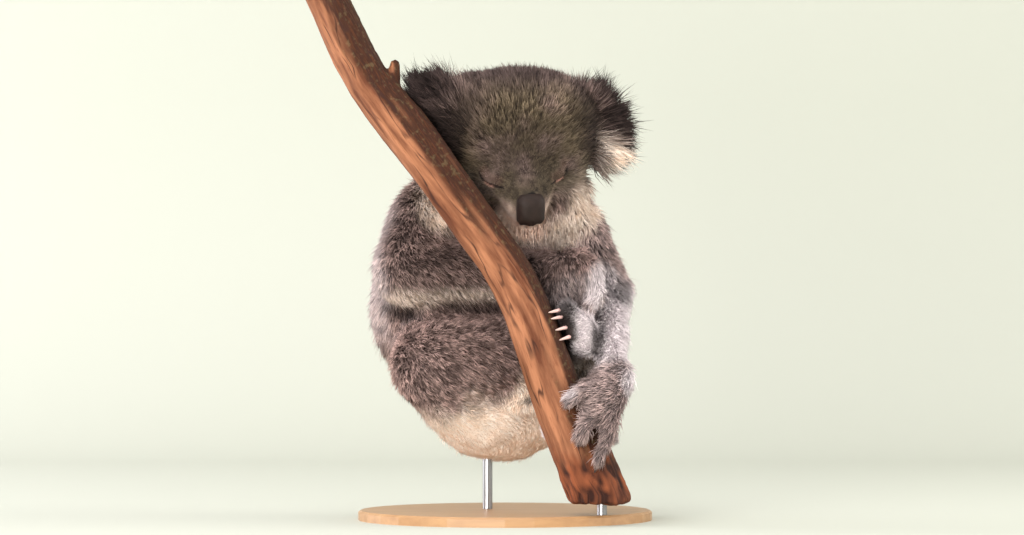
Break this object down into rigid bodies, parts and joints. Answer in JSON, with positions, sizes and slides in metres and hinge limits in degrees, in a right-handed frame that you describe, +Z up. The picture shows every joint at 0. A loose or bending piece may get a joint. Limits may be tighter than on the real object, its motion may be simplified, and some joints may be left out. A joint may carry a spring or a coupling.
{
  "type": "koala model",
  "caption": "Life-size still model of a sleeping koala hugging a sloping cut branch, held by two short rods on a flat oval display base",
  "frame": {"origin": "centre of the underside of the stand's flat oval base", "axes": "+Z up; the animal's front looks along -Y; its left side is towards +X"},
  "size_m": [0.3536, 0.2611, 0.5507],
  "materials": {
    "fur": "soft dense grey-brown fur with pale tips, cream on the throat, rump and forearm fringe",
    "bark": "smooth orange-brown bark with dark cracks, rougher and darker along one side",
    "leather": "bare dark matt nose pad",
    "eye": "dark moist eye under a closed lid",
    "claw": "smooth horn claw",
    "plate": "plain satin varnished wood",
    "steel": "plain brushed steel rod"
  },
  "bodies": {
    "root": {"branch": "bark", "claw_foot_left_1": "claw", "claw_foot_left_2": "claw", "claw_foot_left_3": "claw", "claw_foot_left_4": "claw", "claw_foot_right_1": "claw", "claw_foot_right_2": "claw", "claw_foot_right_3": "claw", "claw_foot_right_4": "claw", "claw_hand_left_1": "claw", "claw_hand_left_2": "claw", "claw_hand_left_3": "claw", "claw_hand_left_4": "claw", "claw_hand_left_5": "claw", "claw_hand_right_1": "claw", "claw_hand_right_2": "claw", "claw_hand_right_3": "claw", "claw_hand_right_4": "claw", "claw_hand_right_5": "claw", "ear_left": "fur", "ear_right": "fur", "eye_left": "eye", "eye_right": "eye", "foot_left": "fur", "foot_right": "fur", "forearm_left": "fur", "forearm_right": "fur", "hand_left": "fur", "hand_right": "fur", "head": "fur", "lower_leg_left": "fur", "lower_leg_right": "fur", "neck": "fur", "nose": "leather", "stand_base": "plate", "stand_rod_body": "steel", "stand_rod_branch": "steel", "thigh_left": "fur", "thigh_right": "fur", "trunk": "fur", "upper_arm_left": "fur", "upper_arm_right": "fur"}
  },
  "joints": []
}
